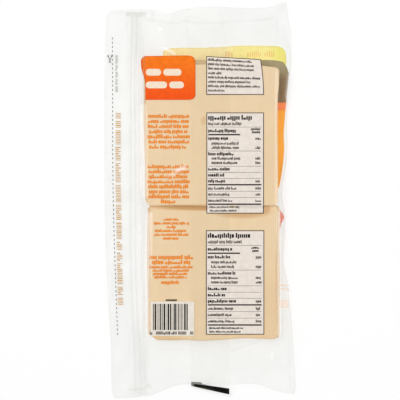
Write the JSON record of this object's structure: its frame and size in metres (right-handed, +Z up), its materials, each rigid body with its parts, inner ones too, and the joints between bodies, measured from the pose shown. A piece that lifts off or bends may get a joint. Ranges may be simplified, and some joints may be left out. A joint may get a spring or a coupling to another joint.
{
  "type": "pack of sliced cheese",
  "caption": "Clear flow-wrapped pack of square cheese slices in two lapped stacks, with a reseal strip down one flange, wavy end seals and a folded back seam.",
  "frame": {"origin": "on the table under the middle of the pack, which lies on its printed front with its back up", "axes": "+X to the right and +Y to the top of the pack as its back is read, +Z up from the table"},
  "size_m": [0.1371, 0.2836, 0.012],
  "materials": {
    "cheese": "satin",
    "strip": "gloss",
    "film": "gloss",
    "print_orange": "gloss",
    "print_text": "gloss",
    "print_dark": "gloss",
    "print_white": "gloss",
    "print_black": "gloss",
    "print_front": "gloss"
  },
  "bodies": {
    "root": {"bag": "cheese", "reseal_strip": "strip"}
  },
  "joints": []
}
